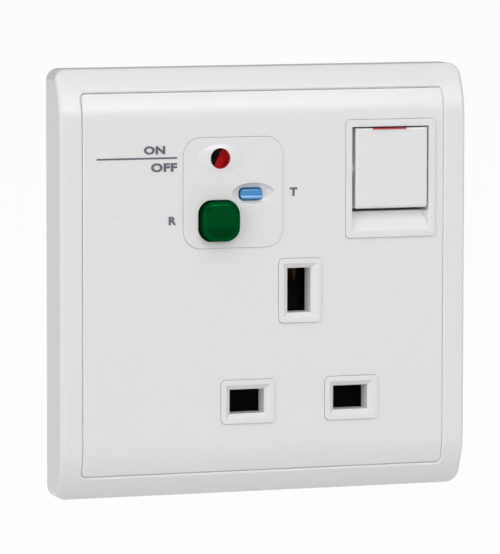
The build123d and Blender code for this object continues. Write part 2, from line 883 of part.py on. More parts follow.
def switch_rocker():
    hollow = block(around(rocker_x, rocker_width - 2 * rocker_wall),
                   (rocker_back - rocker_hollow, rocker_back),
                   around(rocker_z, rocker_height - 2 * rocker_wall))
    cap = rocker_cap() - hollow - stripe_seat()
    cap = cap + rod_x(pivot_radius, pivot_y, rocker_z, (well_left - pivot_reach, well_right + pivot_reach))
    stem = block(around(rocker_x, rocker_stem_width), (rocker_back - rocker_wall, nose_y),
                 around(rocker_z, rocker_stem_thickness))
    nose = rod_x(rocker_nose_radius, nose_y, rocker_z, around(rocker_x, rocker_stem_width))
    return cap + stem + nose


def stripe_seat():
    """The recess in the rocker's top edge that holds the coloured stripe."""
    top = rocker_z + rocker_height / 2
    y = (rocker_front, rocker_front + rocker_edge + stripe_depth)
    return block(around(rocker_x - stripe_left, stripe_width), y, (top - stripe_thickness, top))


def on_stripe():
    return rocker_cap() & stripe_seat()


def contact_cradle():
    half = cradle_half_height
    x = around(rocker_x, cradle_width)
    body = block(x, (cradle_pivot_y - cradle_front, contact_bar_front), around(rocker_z, 2 * half))
    slot = rocker_nose_radius + fork_clearance
    fork_front = nose_y - fork_overlap
    fork = block(x, (fork_front, cradle_pivot_y - cradle_front), around(rocker_z, 2 * (slot + fork_wall)))
    body = body + fork
    body = body - block(x, (fork_front, nose_y + 2 * slot), around(rocker_z, 2 * slot))
    axle = around(rocker_x, 2 * switch_half_width)
    return body + rod_x(cradle_axle_radius, cradle_pivot_y, rocker_z, axle)


def switch_moving_contact():
    bar = block(around(rocker_x, contact_bar_width), (contact_bar_front, contact_bar_back),
                (rocker_z - contact_down, rocker_z + contact_up))
    pad_z = rocker_z + contact_up - pad_radius
    return bar + rod_y(pad_radius, rocker_x, pad_z, (contact_bar_back, moving_pad_back))


def switch_fixed_contact():
    pad_z = rocker_z + contact_up - pad_radius
    bracket = block(around(rocker_x, contact_bar_width), (bracket_front, bracket_back),
                    (pad_z - pad_radius, housing_inner_z))
    return bracket + rod_y(pad_radius, rocker_x, pad_z, (moving_pad_back + contact_gap, bracket_front))


def switch_pivot_contact():
    tip = contact_bar_back + running_gap + post_nose
    nose = rod_x(post_nose, tip, rocker_z, around(rocker_x, post_width))
    post = block(around(rocker_x, post_width), (tip, return_y - conductor / 2),
                 around(rocker_z, 2 * post_nose))
    return post + nose


def switch_bearer():
    y = (cradle_pivot_y - cheek_lead, housing_floor)
    z = around(rocker_z, 2 * cheek_half_height)
    bearer = block(around(rocker_x, 2 * switch_half_width), (housing_floor - cheek_foot, housing_floor), z)
    for side in (-1, 1):
        middle = rocker_x + side * (switch_half_width - cradle_cheek / 2)
        bearer = bearer + block(around(middle, cradle_cheek), y, z)
    bore = around(rocker_x, 2 * switch_half_width)
    return bearer - rod_x(cradle_axle_radius + running_gap, cradle_pivot_y, rocker_z, bore)


def housing_outline(inset, y):
    width = 2 * (housing_half_width - inset)
    height = 2 * (housing_half_height - inset)
    radius = max(housing_corner - inset, least_corner)
    body = rounded(0, 0, width, height, radius, y)
    reach = notch_half_width - inset
    for side in (-1, 1):
        near = side * reach
        far = side * (housing_half_width + cut_past)
        body = body - block((min(near, far), max(near, far)), y, around(0, 2 * (notch_half_height + inset)))
    return body


def rear_housing():
    shell = housing_outline(0, (0, housing_depth)) - housing_outline(housing_wall, (0, housing_floor))
    boss_limit = housing_outline(housing_wall / 2, (0, housing_floor))
    for x, z in corner_screws():
        shell = shell + (rod_y(boss_radius, x, z, (0, housing_floor)) & boss_limit)
        shell = shell - rod_y(screw_radius + screw_gap, x, z, (0, housing_depth))
    for x in (neutral_x, earth_x, line_x):
        shell = shell - rod_z(wire_bore_radius + entry_gap, x, wire_y,
                              (-housing_half_height, -housing_inner_z))
        z = -housing_inner_z + terminal_height / 2
        shell = shell - rod_y(clamp_head_radius + access_gap, x, z, (housing_floor, housing_depth))
    rest_top = toroid_y + winding_outer + winding_gap
    shell = shell + block(around(toroid_x, core_outer), (rest_top, housing_floor),
                          around(toroid_z, core_height))
    for x, z in board_posts():
        shell = shell + rod_y(boss_radius / 2, x, z, (board_back, housing_floor))
    return shell


def board_posts():
    inset = boss_radius / 2
    return [(board_left + inset, board_bottom + inset), (board_right - inset, board_bottom + inset),
            (board_left + inset, board_top - inset)]


def cross_screw(x, z, radius, shaft, head_radius, head_height):
    """A screw along Y with its head behind, and a cross slot in the head."""
    back = shaft[1] + head_height
    screw = rod_y(radius, x, z, shaft) + rod_y(head_radius, x, z, (shaft[1], back))
    arm = around(0, 2 * slot_share * head_radius)
    for dx, dz in ((arm, around(0, slot_width)), (around(0, slot_width), arm)):
        screw = screw - Pos(x, 0, z) * block(dx, (back - slot_depth, back), dz)
    return screw


def assembly_screws():
    shaft = (plate_front / 2, housing_depth)
    return [cross_screw(x, z, screw_radius, shaft, screw_head_radius, screw_head_height)
            for x, z in corner_screws()]


def pole_clip(x, tab):
    """A line or neutral pin contact: two leaves joined by a web at the back."""
    leaves = [block(around(x, pole_leaf_width), (clip_front, pole_web[1]),
                    around(pole_z + side * leaf_offset, leaf_thickness)) for side in (-1, 1)]
    height = leaf_offset + leaf_thickness / 2
    web = block(around(x, pole_leaf_width), pole_web, (pole_z - height, pole_z + height + tab))
    return leaves[0] + leaves[1] + web


def neutral_contact():
    return pole_clip(neutral_x, 0)


def line_contact():
    return pole_clip(line_x, web_tab)


def earth_contact():
    leaves = [block(around(earth_x + side * leaf_offset, leaf_thickness), (clip_front, earth_web[1]),
                    around(earth_z, earth_leaf_width)) for side in (-1, 1)]
    width = 2 * leaf_offset + leaf_thickness
    web = block(around(earth_x, width), earth_web, around(earth_z, earth_leaf_width))
    return leaves[0] + leaves[1] + web


def terminal(x):
    """A brass clamp terminal with a wire bore from below and a screw from behind."""
    z = (-housing_inner_z, terminal_top)
    body = block(around(x, terminal_width), (housing_floor - terminal_depth, housing_floor), z)
    body = body - rod_z(wire_bore_radius, x, wire_y, z)
    middle = (z[0] + z[1]) / 2
    return body - rod_y(clamp_screw_radius + running_gap, x, middle, (wire_y, housing_floor))


def clamp_screws():
    z = -housing_inner_z + terminal_height / 2
    shaft = (wire_y + wire_bore_radius, housing_floor)
    return [cross_screw(x, z, clamp_screw_radius, shaft, clamp_head_radius, clamp_head_height)
            for x in (neutral_x, earth_x, line_x)]


def earth_bar():
    y = earth_web[1] + conductor / 2
    return busbar([(earth_x, y, earth_z), (earth_x, y, terminal_top + conductor / 2)])


def feed_bar(x, feed_x, low_z, forward_z, pole_x):
    """A supply conductor from a terminal, through the ring core, to a lower fixed contact."""
    points = [(x, wire_y, terminal_top + conductor / 2), (x, wire_y, low_z), (feed_x, wire_y, low_z),
              (feed_x, toroid_y, low_z), (feed_x, toroid_y, forward_z), (pole_x, toroid_y, forward_z),
              (pole_x, rail_y, forward_z), (pole_x, rail_y, lower_pad_z + conductor / 2)]
    points = [p for p, q in zip(points, points[1:] + [None]) if p != q]
    pad = rod_y(pad_radius, pole_x, lower_pad_z, (rail_y, fixed_pad_back))
    return busbar(points) + pad


def line_feed():
    return feed_bar(line_x, line_feed_x, line_feed_low, line_feed_high, line_pole_x)


def neutral_feed():
    return feed_bar(neutral_x, neutral_feed_x, neutral_feed_low, neutral_feed_high, neutral_pole_x)


def upper_pad(x):
    return rod_y(pad_radius, x, upper_pad_z, (rail_y, fixed_pad_back))


def neutral_load():
    z = pole_z + leaf_offset
    side_x = chassis_left + load_bar_inset
    bar = busbar([(neutral_pole_x, rail_y, upper_pad_z), (side_x, rail_y, upper_pad_z), (side_x, rail_y, z),
                  (neutral_x - pole_leaf_width / 2 - conductor / 2, rail_y, z)])
    return bar + upper_pad(neutral_pole_x)


def line_load():
    turn_x = board_right + board_side_gap
    bar = busbar([(line_pole_x, rail_y, upper_pad_z), (turn_x, rail_y, upper_pad_z),
                  (turn_x, return_y, upper_pad_z), (rocker_x, return_y, upper_pad_z),
                  (rocker_x, return_y, rocker_z)])
    return bar + upper_pad(line_pole_x)


def line_out():
    top_z = housing_inner_z - line_out_drop
    end_z = pole_z + leaf_offset + leaf_thickness / 2 + web_tab - conductor / 2
    return busbar([(rocker_x, bracket_back + conductor / 2, top_z), (rocker_x, exit_y, top_z),
                   (line_out_x, exit_y, top_z), (line_out_x, exit_y, end_z),
                   (line_out_x, pole_web[1] + conductor / 2, end_z)])


def guide_places():
    return [reset_x - guide_half_pitch, reset_x + guide_half_pitch]


def mechanism_chassis():
    plate = block((chassis_left, chassis_right), (chassis_front, chassis_back), (chassis_bottom, chassis_top))
    for x in ((chassis_left, chassis_left + chassis_leg), (chassis_right - chassis_leg, chassis_right)):
        plate = plate + block(x, (0, chassis_front), (carrier_z - chassis_leg_drop, chassis_top))
    hole = reset_stem + 2 * stem_gap
    plate = plate - block(around(reset_x, hole), (chassis_front, chassis_back), around(reset_z, hole))
    plate = plate - rod_y(link_radius + stem_gap, link_x, link_z, (chassis_front, chassis_back))
    for x in guide_places():
        plate = plate + rod_y(guide_radius, x, carrier_z, (chassis_front, guide_end))
    for side in (-1, 1):
        middle = carrier_z + side * (latch_width / 2 + latch_lug / 2 + running_gap)
        plate = plate + block(around(latch_x, 2 * latch_hub), (chassis_back, latch_y + latch_hub / 2),
                              around(middle, latch_lug))
    pin = around(carrier_z, 2 * (latch_width + latch_lug))
    return plate - rod_z(latch_pin_radius + running_gap, latch_x, latch_y, pin)


def carrier_ends():
    half = carrier_bar_width / 2 + carrier_margin
    return (neutral_pole_x - half, line_pole_x + half)


def contact_carrier():
    z = around(carrier_z, carrier_height)
    body = block(carrier_ends(), (carrier_front, carrier_back), z)
    arm = around(link_x, 2 * carrier_arm_thickness)
    body = body + block(arm, (carrier_front, carrier_front + carrier_arm_thickness),
                        (z[0], link_z + link_radius))
    body = body + rod_y(link_radius, link_x, link_z, (flag_back + link_gap, carrier_front))
    for x in guide_places():
        body = body - rod_y(guide_radius + running_gap, x, carrier_z, (carrier_front, carrier_back))
    return body


def carrier_contacts():
    bars = []
    for x in (neutral_pole_x, line_pole_x):
        z = (lower_pad_z - carrier_bar_overhang, upper_pad_z + carrier_bar_overhang)
        bar = block(around(x, carrier_bar_width), (carrier_bar_front, carrier_front), z)
        for pad_z in (lower_pad_z, upper_pad_z):
            pad = rod_y(carrier_bar_width / 2, x, pad_z, (fixed_pad_back + contact_gap, carrier_bar_front))
            bar = bar + pad
        bars.append(bar)
    return bars


def carrier_springs():
    length = carrier_front - chassis_back
    spring = coil(length, carrier_spring_radius, carrier_spring_wire, carrier_spring_turns)
    return [Pos(x, chassis_back, carrier_z) * Rot(-90, 0, 0) * spring for x in guide_places()]


def ring(outer, inner, height):
    return Cylinder(outer, height) - Cylinder(inner, height)


def toroid_core():
    return Pos(toroid_x, toroid_y, toroid_z) * ring(core_outer, core_inner, core_height)


def toroid_winding():
    coat = ring(winding_outer, winding_inner, winding_height)
    coat = coat - ring(core_outer + winding_gap, core_inner - winding_gap, core_height + 2 * winding_gap)
    half = winding_opening / 2
    reach = 2 * winding_outer
    rays = [(reach * cos(radians(a)), reach * sin(radians(a))) for a in (-half, half)]
    wedge = extrude(make_face(Polyline((0, 0), rays[0], rays[1], close=True)), winding_height)
    coat = coat - Pos(0, 0, -winding_height / 2) * wedge
    return Pos(toroid_x, toroid_y, toroid_z) * coat


def trip_latch():
    z = around(carrier_z, latch_width)
    tip = latch_y + latch_reach
    arm = block(around(latch_x, latch_thickness), (latch_y, tip), z)
    arm = arm + rod_z(latch_hub, latch_x, latch_y, z)
    left = latch_x - latch_thickness / 2
    arm = arm + block((left - latch_nose, left), (tip - latch_nose_height, tip), z)
    slot = block((left - latch_nose, left + latch_thickness), (latch_y + latch_slot_start, tip),
                 around(carrier_z, latch_slot))
    return arm - slot - rod_z(latch_pin_radius + running_gap, latch_x, latch_y, z)


def latch_pin():
    return rod_z(latch_pin_radius, latch_x, latch_y, around(carrier_z, latch_width + 2 * latch_lug))


def solenoid_plunger():
    left = latch_x - latch_thickness / 2 - plunger_head_gap
    body_start = latch_x + latch_thickness / 2 + plunger_body_gap
    head = rod_x(plunger_head, plunger_y, carrier_z, (left - plunger_head_length, left))
    neck = rod_x(plunger_neck, plunger_y, carrier_z, (left, body_start))
    body = rod_x(plunger_radius, plunger_y, carrier_z, (body_start, body_start + plunger_length))
    return head + neck + body


def bobbin_ends():
    start = solenoid_left + yoke_thickness + running_gap
    return (start, start + bobbin_length)


def solenoid_bobbin():
    ends = bobbin_ends()
    core = plunger_radius + plunger_fit + bobbin_wall
    bobbin = rod_x(core, plunger_y, carrier_z, ends)
    for start in (ends[0], ends[1] - bobbin_flange):
        bobbin = bobbin + rod_x(bobbin_radius, plunger_y, carrier_z, (start, start + bobbin_flange))
    return bobbin - rod_x(plunger_radius + plunger_fit, plunger_y, carrier_z, ends)


def solenoid_coil():
    ends = bobbin_ends()
    span = (ends[0] + bobbin_flange, ends[1] - bobbin_flange)
    core = plunger_radius + plunger_fit + bobbin_wall
    return rod_x(coil_radius, plunger_y, carrier_z, span) - rod_x(core, plunger_y, carrier_z, span)


def solenoid_yoke():
    ends = bobbin_ends()
    left = ends[0] - running_gap - yoke_thickness
    right = ends[1] + running_gap + yoke_thickness
    z = around(carrier_z, 2 * bobbin_radius)
    y = (plunger_y - bobbin_radius, board_front)
    yoke = block((left, left + yoke_thickness), y, z) + block((right - yoke_thickness, right), y, z)
    yoke = yoke + block((left, right), (board_front - yoke_thickness, board_front), z)
    return yoke - rod_x(plunger_radius + plunger_fit, plunger_y, carrier_z, (left, right))


def circuit_board():
    return block((board_left, board_right), (board_front, board_back), (board_bottom, board_top))


def smoothing_capacitor():
    x = board_left + board_inset + capacitor_radius
    z = board_top - board_inset - capacitor_radius
    return rod_y(capacitor_radius, x, z, (board_front - capacitor_length, board_front))


def test_resistor():
    x = board_left + board_inset + capacitor_radius
    y = board_front - resistor_radius - resistor_lift
    bottom = board_bottom + board_inset
    body = rod_z(resistor_radius, x, y, (bottom, bottom + resistor_length))
    for z in (bottom + resistor_lead_inset, bottom + resistor_length - resistor_lead_inset):
        body = body + rod_y(resistor_lead, x, z, (y, board_front))
    return body


def surge_varistor():
    z = board_top - board_inset - varistor_radius
    return rod_x(varistor_radius, board_front - varistor_radius, z, around(varistor_x, varistor_thickness))


def trip_thyristor():
    z = board_top - board_inset - 2 * thyristor_radius
    y = (board_front - thyristor_height, board_front)
    case = rod_y(thyristor_radius, thyristor_x, z, y)
    flat = block(around(thyristor_x, 2 * thyristor_radius), y,
                 (z - thyristor_radius, z - thyristor_radius / 2))
    return case - flat


def rectifier_diodes():
    y = board_front - diode_radius
    top = board_top - board_inset - diode_radius
    return [rod_x(diode_radius, y, top - row * diode_pitch, around(diode_x, diode_length))
            for row in range(diode_count)]


def save(name, shape):
    solids = shape if isinstance(shape, list) else [shape]
    flat = []
    for item in solids:
        flat.extend(item.solids())
    export_step(flat[0] if len(flat) == 1 else Compound(children=flat), f"parts/{name}.step")


SUBPARTS = (surround_frame, fascia, mounting_plate, aperture_block, shutter, shutter_springs,
            contact_shroud, rcd_panel, indicator_lens, flag_red, flag_black, reset_button, reset_spring,
            test_button, test_spring, test_contact_strip, switch_bezel, switch_rocker, on_stripe,
            contact_cradle, switch_moving_contact, switch_fixed_contact, switch_pivot_contact,
            switch_bearer, rear_housing, assembly_screws, neutral_contact, line_contact, earth_contact,
            clamp_screws, earth_bar, line_feed, neutral_feed, line_load, neutral_load, line_out,
            mechanism_chassis, contact_carrier, carrier_contacts, carrier_springs, toroid_core,
            toroid_winding, trip_latch, latch_pin, solenoid_plunger, solenoid_bobbin, solenoid_coil,
            solenoid_yoke, circuit_board, smoothing_capacitor, test_resistor, surge_varistor,
            trip_thyristor, rectifier_diodes)

os.makedirs("parts", exist_ok=True)
for subpart in SUBPARTS:
    save(subpart.__name__, subpart())
for name, place in (("neutral_terminal", neutral_x), ("earth_terminal", earth_x), ("line_terminal", line_x)):
    save(name, terminal(place))
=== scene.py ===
import json
from math import cos, pi, radians, sin

import bmesh
import bpy
from mathutils import Matrix, Vector


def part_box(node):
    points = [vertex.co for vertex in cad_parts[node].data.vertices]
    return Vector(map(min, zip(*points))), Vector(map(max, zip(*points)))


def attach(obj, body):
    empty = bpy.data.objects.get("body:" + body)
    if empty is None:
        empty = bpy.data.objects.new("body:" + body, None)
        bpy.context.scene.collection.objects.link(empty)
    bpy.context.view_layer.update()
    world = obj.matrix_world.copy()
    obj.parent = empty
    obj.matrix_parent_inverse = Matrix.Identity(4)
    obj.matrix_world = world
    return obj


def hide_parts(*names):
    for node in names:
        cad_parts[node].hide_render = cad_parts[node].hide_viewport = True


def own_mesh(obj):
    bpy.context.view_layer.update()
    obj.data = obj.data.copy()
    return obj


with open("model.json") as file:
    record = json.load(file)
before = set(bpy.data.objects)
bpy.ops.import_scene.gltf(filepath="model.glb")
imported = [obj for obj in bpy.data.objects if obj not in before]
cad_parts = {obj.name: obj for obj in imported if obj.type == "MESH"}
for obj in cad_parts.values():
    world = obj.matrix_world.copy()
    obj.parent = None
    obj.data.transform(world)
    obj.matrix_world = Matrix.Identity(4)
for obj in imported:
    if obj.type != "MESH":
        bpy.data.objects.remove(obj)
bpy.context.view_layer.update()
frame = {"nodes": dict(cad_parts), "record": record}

MM = 0.001

# Camera, as fitted to the photograph: place in metres, turn and lens
CAMERA_PLACE = Vector((-0.3236, -0.9406, 0.09765))
CAMERA_AZIMUTH = radians(18.98)
CAMERA_ELEVATION = radians(5.606)
CAMERA_ROLL = radians(0.0725)
CAMERA_LENS = 319.1
CAMERA_SENSOR = 36
CAMERA_NEAR = 0.05
CAMERA_FAR = 40


def add_object(name, data):
    thing = bpy.data.objects.new(name, data)
    bpy.context.scene.collection.objects.link(thing)
    return thing


def add_camera():
    data = bpy.data.cameras.new("camera")
    data.sensor_width = CAMERA_SENSOR
    data.lens = CAMERA_LENS
    data.clip_start = CAMERA_NEAR
    data.clip_end = CAMERA_FAR
    camera = add_object("camera", data)
    right = Vector((cos(CAMERA_AZIMUTH), -sin(CAMERA_AZIMUTH), 0))
    ahead = Vector((sin(CAMERA_AZIMUTH) * cos(CAMERA_ELEVATION),
                    cos(CAMERA_AZIMUTH) * cos(CAMERA_ELEVATION), -sin(CAMERA_ELEVATION)))
    up = right.cross(ahead)
    turned = right * cos(CAMERA_ROLL) + up * sin(CAMERA_ROLL)
    above = up * cos(CAMERA_ROLL) - right * sin(CAMERA_ROLL)
    axes = Matrix((turned, above, -ahead)).transposed().to_4x4()
    camera.matrix_world = Matrix.Translation(CAMERA_PLACE) @ axes
    bpy.context.scene.camera = camera


add_camera()


# Materials. Noise scales are in cycles per metre, heights of bumps in metres.

# Middle share of a noise's values, spread over the whole of a range
NOISE_LOW = 0.3
NOISE_HIGH = 0.7

# Moulded plastic
CLOUD_SCALE = 120.0
GLOSS_SCALE = 900.0
GLOSS_SHARE = 0.015
GRAIN_SCALE = 9000.0
WAVINESS_SCALE = 40.0
FINE_GRAIN = 0.0006 * MM
WAVINESS_TO_GRAIN = 8
THIN_SCATTER = 0.5 * MM
DEEP_SCATTER = 0.9 * MM
SCATTER_RADIUS = (1.0, 0.95, 0.9)

# Metal
STAIN_SCALE = 350.0
STAIN_SHADE = 0.86
BRUSH_SCALE = 8.0
BRUSH_HEIGHT = 0.004 * MM
LONG_BRUSH = (900.0, 900.0, 60.0)
EVEN_BRUSH = (300.0, 300.0, 300.0)

# Wire windings: a wave's scale times its pitch
WAVE_PITCH = 0.314
# Painted shade: the share of the wire colour left in the grooves between turns
WIRE_GROOVE_PAINTED_SHADE = 0.45
WIRE_ROUGH = 0.28

# Circuit board
TRACK_SCALE = 260.0
TRACK_WIDTH = 0.035
TRACK_HEIGHT = 0.01 * MM
BOARD_GRAIN_SCALE = 4000.0
BOARD_GRAIN = 0.005 * MM
BOARD_GLOSS_SCALE = 700.0

# Window
WINDOW_TINT_SCALE = 300.0
WINDOW_GLOSS_SCALE = 800.0
WINDOW_IOR = 1.1

# Print
PRINT_GREY = (0.118, 0.125, 0.15)
PRINT_SPECKLE_SCALE = 4000.0
PRINT_GRAIN_SCALE = 7000.0
PRINT_GRAIN = 0.003 * MM
PRINT_ROUGH = 0.5

WHITE = (0.81, 0.79, 0.765)
MODULE_WHITE = (0.805, 0.785, 0.76)
ROCKER_WHITE = (0.825, 0.805, 0.78)
MID_GREY = (0.50, 0.50, 0.50)
BLACK = (0.002, 0.0018, 0.0018)
COMPONENT_BLACK = (0.03, 0.03, 0.034)
GREEN = (0.0004, 0.065, 0.0145)
GREEN_SHEEN = (0.02, 0.9, 0.4, 1)
BLUE = (0.022, 0.24, 0.54)
VARISTOR_BLUE = (0.05, 0.14, 0.4)
RED = (0.6, 0.0008, 0.001)
STRIPE_RED = (0.5, 0.045, 0.04)
CLEAR = (0.96, 0.96, 0.96)
# Brass kept darker than bright brass, as painted shade for the contacts deep in the pin holes
BRASS_DARKENED_FOR_SHADE = (0.55, 0.40, 0.18)
COPPER = (0.62, 0.28, 0.12)
WIRE_COPPER = (0.72, 0.34, 0.16)
ZINC = (0.66, 0.67, 0.68)
STEEL = (0.52, 0.52, 0.54)
FERRITE = (0.055, 0.055, 0.06)
BOARD_GREEN = (0.012, 0.12, 0.045)
TRACK_GREEN = (0.04, 0.2, 0.08)


class Nodes:
    """A short way to write a material's nodes."""

    SOCKETS = {"metal": "Metallic", "ior": "IOR", "specular": "Specular IOR Level",
               "specular_tint": "Specular Tint", "coat": "Coat Weight", "coat_rough": "Coat Roughness",
               "glass": "Transmission Weight", "scatter": "Subsurface Weight",
               "scatter_scale": "Subsurface Scale", "scatter_radius": "Subsurface Radius",
               "rough": "Roughness"}

    def __init__(self, name):
        self.material = bpy.data.materials.new(name)
        self.material.use_nodes = True
        self.tree = self.material.node_tree
        self.shader = self.tree.nodes["Principled BSDF"]
        self.place = self.add("ShaderNodeTexCoord").outputs["Object"]

    def add(self, kind, **settings):
        node = self.tree.nodes.new(kind)
        for key, value in settings.items():
            if key in node.inputs.keys():
                node.inputs[key].default_value = value
            else:
                setattr(node, key, value)
        return node

    def link(self, start, end):
        self.tree.links.new(start, end)

    def noise(self, scale, detail=3.0, roughness=0.55):
        node = self.add("ShaderNodeTexNoise", Scale=scale, Detail=detail, Roughness=roughness)
        self.link(self.place, node.inputs["Vector"])
        return node.outputs["Fac"]

    def spread(self, value, low, high):
        """A noise between two numbers."""
        node = self.add("ShaderNodeMapRange")
        node.inputs["From Min"].default_value = NOISE_LOW
        node.inputs["From Max"].default_value = NOISE_HIGH
        node.inputs["To Min"].default_value = low
        node.inputs["To Max"].default_value = high
        self.link(value, node.inputs["Value"])
        return node.outputs["Result"]

    def blend(self, value, first, second):
        node = self.add("ShaderNodeMix", data_type="RGBA")
        node.inputs["A"].default_value = (*first, 1)
        node.inputs["B"].default_value = (*second, 1)
        self.link(value, node.inputs["Factor"])
        return node.outputs["Result"]

    def colour(self, value):
        self.link(value, self.shader.inputs["Base Color"])

    def gloss(self, value):
        self.link(value, self.shader.inputs["Roughness"])

    def bump(self, heights):
        """Bumps from pairs of a height and a pattern from 0 to 1."""
        normal = None
        for height, pattern in heights:
            node = self.add("ShaderNodeBump", Strength=1.0, Distance=height)
            self.link(pattern, node.inputs["Height"])
            if normal is not None:
                self.link(normal, node.inputs["Normal"])
            normal = node.outputs["Normal"]
        self.link(normal, self.shader.inputs["Normal"])

    def set(self, **values):
        for key, value in values.items():
            self.shader.inputs[self.SOCKETS[key]].default_value = value


def shade(colour, factor):
    return tuple(min(1.0, c * factor) for c in colour)


def moulded(name, colour, rough, grain=FINE_GRAIN, variation=0.02, scatter=0.0,
            depth=THIN_SCATTER, **finish):
    """Injection-moulded plastic: faint cloudiness, fine spark-eroded grain and slow waviness."""
    n = Nodes(name)
    n.set(**finish)
    if scatter > 0:
        n.set(scatter=scatter, scatter_scale=depth, scatter_radius=SCATTER_RADIUS)
    darker = shade(colour, 1 - variation)
    lighter = shade(colour, 1 + variation)
    n.colour(n.blend(n.noise(CLOUD_SCALE), darker, lighter))
    n.gloss(n.spread(n.noise(GLOSS_SCALE), rough * (1 - GLOSS_SHARE), rough * (1 + GLOSS_SHARE)))
    n.bump([(grain, n.noise(GRAIN_SCALE, detail=2.0)),
            (grain * WAVINESS_TO_GRAIN, n.noise(WAVINESS_SCALE, detail=0.0))])
    return n.material


def metal(name, colour, rough, brush=LONG_BRUSH):
    """Stamped or drawn metal with fine lines along one direction and small stains."""
    n = Nodes(name)
    n.set(metal=1.0)
    stain = n.noise(STAIN_SCALE, detail=4.0)
    n.colour(n.blend(stain, shade(colour, STAIN_SHADE), colour))
    n.gloss(n.spread(stain, rough * 1.25, rough * 0.8))
    scaling = n.add("ShaderNodeMapping")
    scaling.inputs["Scale"].default_value = brush
    n.link(n.place, scaling.inputs["Vector"])
    lines = n.add("ShaderNodeTexNoise", Scale=BRUSH_SCALE, Detail=2.0)
    n.link(scaling.outputs["Vector"], lines.inputs["Vector"])
    n.bump([(BRUSH_HEIGHT, lines.outputs["Fac"])])
    return n.material


def winding(name, colour, pitch, direction):
    """Enamelled wire, wound turn beside turn, with painted shade darkening the grooves between turns."""
    n = Nodes(name)
    n.set(metal=1.0, coat=0.6, coat_rough=0.12, rough=WIRE_ROUGH)
    wave = n.add("ShaderNodeTexWave", bands_direction=direction, Scale=WAVE_PITCH / pitch,
                 Distortion=0.4)
    n.link(n.place, wave.inputs["Vector"])
    # Painted shade: the wire colour darkens where the wave, and the bump with it, is low between turns
    n.colour(n.blend(wave.outputs["Fac"], shade(colour, WIRE_GROOVE_PAINTED_SHADE), colour))
    n.bump([(pitch / 3, wave.outputs["Fac"])])
    return n.material


def laminate(name, base, track):
    """Circuit board: green mask over raised tracks."""
    n = Nodes(name)
    n.set(coat=0.35, coat_rough=0.2)
    brick = n.add("ShaderNodeTexBrick", Scale=TRACK_SCALE)
    brick.inputs["Mortar Size"].default_value = TRACK_WIDTH
    brick.inputs["Color1"].default_value = (*base, 1)
    brick.inputs["Color2"].default_value = (*shade(base, 1.25), 1)
    brick.inputs["Mortar"].default_value = (*track, 1)
    turn = n.add("ShaderNodeMapping")
    turn.inputs["Rotation"].default_value = (pi / 2, 0, 0)
    n.link(n.place, turn.inputs["Vector"])
    n.link(turn.outputs["Vector"], brick.inputs["Vector"])
    n.colour(brick.outputs["Color"])
    n.gloss(n.spread(n.noise(BOARD_GLOSS_SCALE), 0.3, 0.45))
    n.bump([(TRACK_HEIGHT, brick.outputs["Fac"]), (BOARD_GRAIN, n.noise(BOARD_GRAIN_SCALE))])
    return n.material


def window(name, tint):
    """Clear moulded window with a polished face."""
    n = Nodes(name)
    n.set(glass=1.0, ior=WINDOW_IOR)
    n.colour(n.blend(n.noise(WINDOW_TINT_SCALE), tint, shade(tint, 1.04)))
    n.gloss(n.spread(n.noise(WINDOW_GLOSS_SCALE), 0.01, 0.03))
    return n.material


def print_ink(name):
    """Grey ink with a fine speckle."""
    n = Nodes(name)
    n.set(rough=PRINT_ROUGH)
    n.colour(n.blend(n.noise(PRINT_SPECKLE_SCALE), shade(PRINT_GREY, 0.85), shade(PRINT_GREY, 1.2)))
    n.bump([(PRINT_GRAIN, n.noise(PRINT_GRAIN_SCALE))])
    return n.material


MATERIALS = {
    "cover_white": moulded("cover_white", WHITE, rough=0.27, variation=0.008, scatter=0.6),
    "module_white": moulded("module_white", MODULE_WHITE, rough=0.25, variation=0.008, scatter=0.6),
    "grey_moulding": moulded("grey_moulding", MID_GREY, rough=0.5, grain=0.008 * MM),
    # Near-black moulding; the contact shroud wears it too, as painted shade inside the pin holes
    "black_moulding": moulded("black_moulding", BLACK, rough=0.5, specular=0.02),
    "green_plastic": moulded("green_plastic", GREEN, rough=0.14, variation=0.05, metal=0.5,
                             specular=0.0, specular_tint=GREEN_SHEEN),
    "blue_plastic": moulded("blue_plastic", BLUE, rough=0.08, variation=0.04, specular=0.8),
    "red_plastic": moulded("red_plastic", RED, rough=0.3, variation=0.05, specular=0.1),
    "clear_window": window("clear_window", CLEAR),
    "brass": metal("brass", BRASS_DARKENED_FOR_SHADE, rough=0.36),
    "copper": moulded("copper_sleeve", COPPER, rough=0.32, variation=0.06),
    "zinc_steel": metal("zinc_steel", ZINC, rough=0.3),
    "spring_steel": metal("spring_steel", STEEL, rough=0.26, brush=EVEN_BRUSH),
    "ferrite": moulded("ferrite", FERRITE, rough=0.62, grain=0.02 * MM, variation=0.12),
    "laminate": laminate("laminate", BOARD_GREEN, TRACK_GREEN),
    "component_body": moulded("component_body", COMPONENT_BLACK, rough=0.45),
    "varistor_blue": moulded("varistor_blue", VARISTOR_BLUE, rough=0.35, grain=0.01 * MM),
}


def rocker_plastic(name, rough):
    """White of the switch, which lets light deeper in than the cover does."""
    return moulded(name, ROCKER_WHITE, rough=rough, variation=0.008, scatter=1.0, depth=DEEP_SCATTER)


# Nodes whose material isn't their slot's
NODE_MATERIALS = {
    "switch_rocker": rocker_plastic("rocker_white", rough=0.25),
    "switch_bezel": rocker_plastic("bezel_white", rough=0.25),
    "switch_bearer": rocker_plastic("bearer_white", rough=0.3),
    "on_stripe": moulded("stripe_red", STRIPE_RED, rough=0.35, variation=0.05, specular=0.3),
    "toroid_winding": winding("toroid_wire", WIRE_COPPER, pitch=0.35 * MM, direction="Z"),
    "solenoid_coil": winding("coil_wire", WIRE_COPPER, pitch=0.2 * MM, direction="X"),
}


